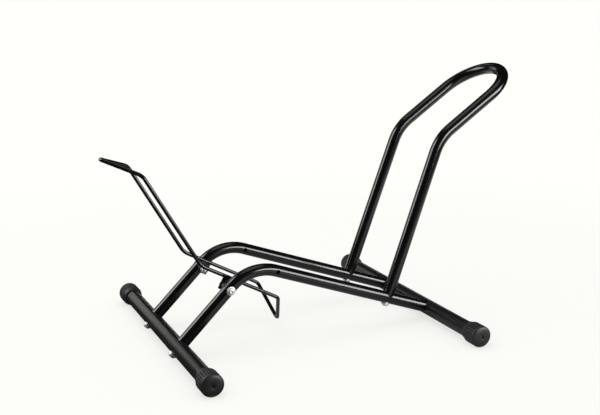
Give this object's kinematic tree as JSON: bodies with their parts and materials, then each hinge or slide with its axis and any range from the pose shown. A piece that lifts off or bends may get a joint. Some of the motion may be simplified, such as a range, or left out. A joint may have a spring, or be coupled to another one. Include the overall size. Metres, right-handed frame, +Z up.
{
  "type": "floor bike rack",
  "caption": "Free-standing floor rack of bent steel tube for one bicycle wheel, with a leaning hoop and a bent wire cradle that tips as the wheel rolls in.",
  "frame": {"origin": "on the floor, beneath the middle of the rack's length and width", "axes": "+X from the front foot and the cradle's front V towards the hoop, the way the wheel rolls in; +Y to the rack's left along the feet; +Z up"},
  "size_m": [0.6946, 0.45, 0.4114],
  "materials": {
    "gloss_coat": "gloss black powder coat on steel tube and rod",
    "satin_coat": "semi-gloss black powder coat on the two foot tubes",
    "cap_rubber": "matt dark grey moulded rubber",
    "zinc_plate": "bright zinc plate",
    "black_nylon": "moulded black nylon"
  },
  "bodies": {
    "frame": {"front_foot_tube": "satin_coat", "rear_foot_tube": "satin_coat", "front_left_cap": "cap_rubber", "front_right_cap": "cap_rubber", "rear_left_cap": "cap_rubber", "rear_right_cap": "cap_rubber", "rail_left": "gloss_coat", "rail_right": "gloss_coat", "wheel_hoop": "gloss_coat", "front_left_screw": "zinc_plate", "front_left_saddle_washer": "zinc_plate", "front_left_insert": "zinc_plate", "front_right_screw": "zinc_plate", "front_right_saddle_washer": "zinc_plate", "front_right_insert": "zinc_plate", "rear_left_screw": "zinc_plate", "rear_left_saddle_washer": "zinc_plate", "rear_left_insert": "zinc_plate", "rear_right_screw": "zinc_plate", "rear_right_saddle_washer": "zinc_plate", "rear_right_insert": "zinc_plate", "hoop_left_screw": "zinc_plate", "hoop_left_saddle_washer": "zinc_plate", "hoop_left_insert": "zinc_plate", "hoop_right_screw": "zinc_plate", "hoop_right_saddle_washer": "zinc_plate", "hoop_right_insert": "zinc_plate", "pivot_left_screw": "zinc_plate", "pivot_left_spacer": "black_nylon", "pivot_left_washer": "zinc_plate", "pivot_left_lock_nut": "zinc_plate", "pivot_left_nut_insert": "black_nylon", "pivot_right_screw": "zinc_plate", "pivot_right_spacer": "black_nylon", "pivot_right_washer": "zinc_plate", "pivot_right_lock_nut": "zinc_plate", "pivot_right_nut_insert": "black_nylon"},
    "cradle": {"cradle_wire": "gloss_coat", "cradle_lug_left": "gloss_coat", "cradle_lug_right": "gloss_coat"}
  },
  "joints": [
    {"name": "cradle_pivot", "type": "hinge", "parent": "frame", "child": "cradle", "pos_m": [-0.17654, 0, 0.0968], "axis": [0, 1, 0], "range_deg": [-70, 4]}
  ]
}
